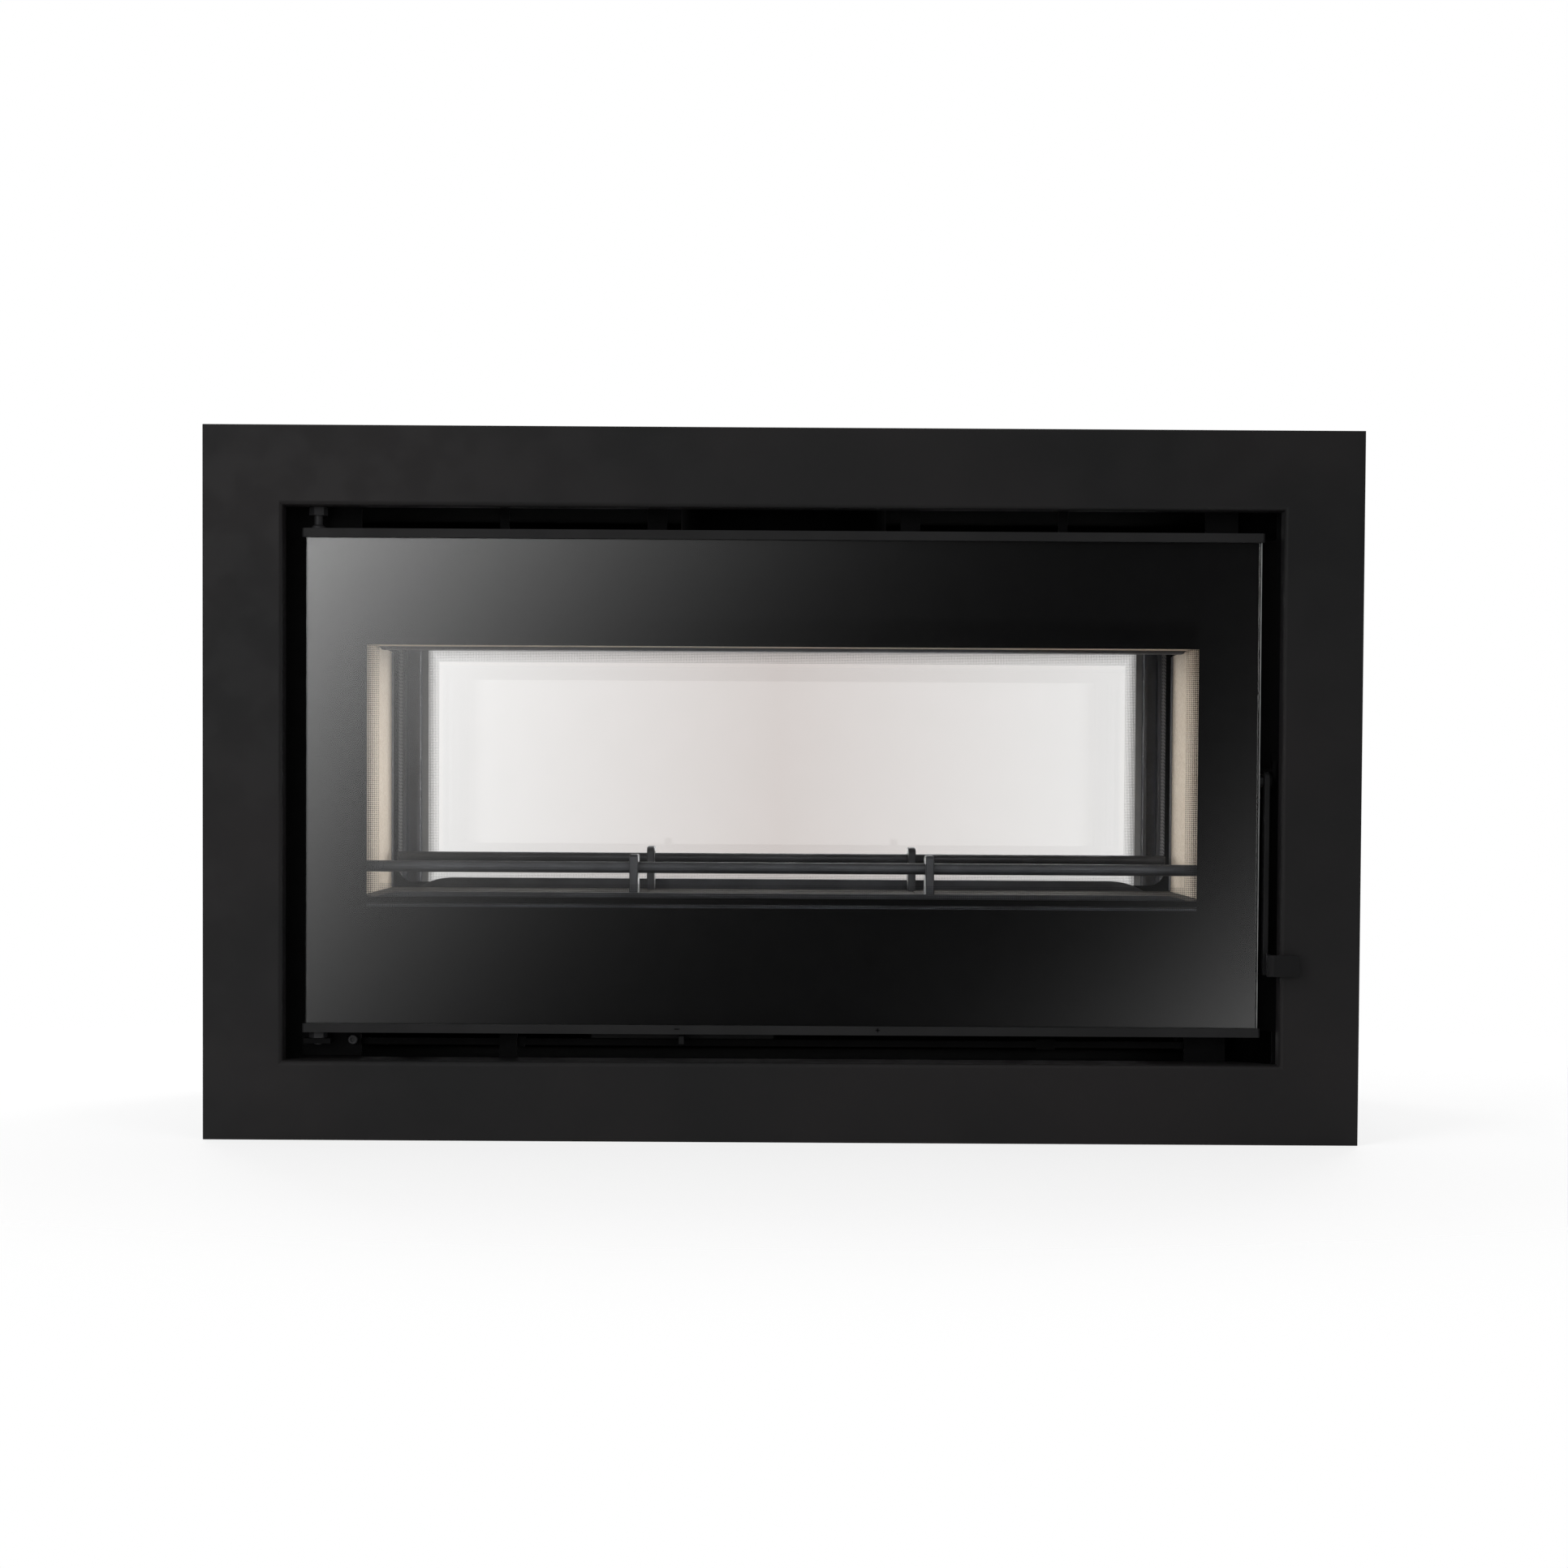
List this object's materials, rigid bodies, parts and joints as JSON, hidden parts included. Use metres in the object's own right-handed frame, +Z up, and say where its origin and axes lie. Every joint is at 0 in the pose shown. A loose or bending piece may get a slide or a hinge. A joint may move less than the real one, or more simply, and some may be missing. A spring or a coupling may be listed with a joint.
{
  "type": "fireplace insert",
  "caption": "See-through inset wood stove with a black picture frame, a hinged glass door on each side, a latch lever, convection slots, an air slide and a flue collar.",
  "frame": {"origin": "middle of the footprint, level with the feet and the picture frames' lower edges", "axes": "+X to the right as seen from the front, +Y towards the rear side, +Z up; the front faces -Y"},
  "size_m": [0.934, 0.443, 0.588],
  "materials": {
    "frame_paint": "matte black stove paint",
    "rail_paint": "satin black",
    "body_paint": "matte black heat-proof paint",
    "casing_steel": "plain galvanised sheet",
    "fire_steel": "dark heat-tinted steel",
    "glass_pane": "clear ceramic glass with a black printed border",
    "rope_fibre": "grey glass-fibre rope",
    "vermiculite": "matte pressed vermiculite board",
    "sooted_brick": "matte sooted fire brick",
    "screw_steel": "blackened steel",
    "lever_black": "satin black",
    "guard_iron": "dark grey steel"
  },
  "bodies": {
    "stove": {"front_frame": "frame_paint", "front_face_plate": "body_paint", "front_hinge_top_bracket": "body_paint", "front_hinge_top_pin": "screw_steel", "front_hinge_bottom_bracket": "body_paint", "front_hinge_bottom_pin": "screw_steel", "front_hinge_screw": "screw_steel", "front_latch_keeper": "body_paint", "front_guard_plate": "guard_iron", "front_guard_post_left": "guard_iron", "front_guard_post_right": "guard_iron", "front_guard_bar": "guard_iron", "front_air_wash_deflector": "body_paint", "rear_frame": "frame_paint", "rear_face_plate": "body_paint", "rear_hinge_top_bracket": "body_paint", "rear_hinge_top_pin": "screw_steel", "rear_hinge_bottom_bracket": "body_paint", "rear_hinge_bottom_pin": "screw_steel", "rear_hinge_screw": "screw_steel", "rear_latch_keeper": "body_paint", "rear_guard_plate": "guard_iron", "rear_guard_post_left": "guard_iron", "rear_guard_post_right": "guard_iron", "rear_guard_bar": "guard_iron", "rear_air_wash_deflector": "body_paint", "casing": "casing_steel", "firebox": "fire_steel", "flue_collar": "fire_steel", "liner_left": "vermiculite", "liner_right": "vermiculite", "hearth_brick_1": "sooted_brick", "hearth_brick_2": "sooted_brick", "hearth_brick_3": "sooted_brick", "baffle": "vermiculite", "baffle_edge_front": "fire_steel", "baffle_edge_rear": "fire_steel", "air_box": "fire_steel", "air_slide_rail": "fire_steel", "levelling_foot_1": "screw_steel", "levelling_foot_2": "screw_steel", "levelling_foot_3": "screw_steel", "levelling_foot_4": "screw_steel"},
    "front_door": {"front_door_glass": "glass_pane", "front_door_top_rail": "rail_paint", "front_door_bottom_rail": "rail_paint", "front_door_inner_frame": "fire_steel", "front_door_rope_seal": "rope_fibre", "front_handle_pivot_bolt": "lever_black"},
    "front_handle": {"front_handle_lever": "lever_black"},
    "rear_door": {"rear_door_glass": "glass_pane", "rear_door_top_rail": "rail_paint", "rear_door_bottom_rail": "rail_paint", "rear_door_inner_frame": "fire_steel", "rear_door_rope_seal": "rope_fibre", "rear_handle_pivot_bolt": "lever_black"},
    "rear_handle": {"rear_handle_lever": "lever_black"},
    "air_control": {"air_control": "lever_black"}
  },
  "joints": [
    {"name": "front_door_hinge", "type": "hinge", "parent": "stove", "child": "front_door", "pos_m": [-0.3772, -0.19, 0.29], "axis": [0, 0, -1], "range_deg": [0, 105]},
    {"name": "rear_door_hinge", "type": "hinge", "parent": "stove", "child": "rear_door", "pos_m": [0.3772, 0.19, 0.29], "axis": [0, 0, -1], "range_deg": [0, 105]},
    {"name": "front_handle_pivot", "type": "hinge", "parent": "front_door", "child": "front_handle", "pos_m": [0.3932, -0.1905, 0.2943], "axis": [-1, 0, 0], "range_deg": [0, 35]},
    {"name": "rear_handle_pivot", "type": "hinge", "parent": "rear_door", "child": "rear_handle", "pos_m": [-0.3932, 0.1905, 0.2943], "axis": [1, 0, 0], "range_deg": [0, 35]},
    {"name": "air_slide", "type": "slide", "parent": "stove", "child": "air_control", "axis": [1, 0, 0], "range_m": [0, 0.162]}
  ]
}
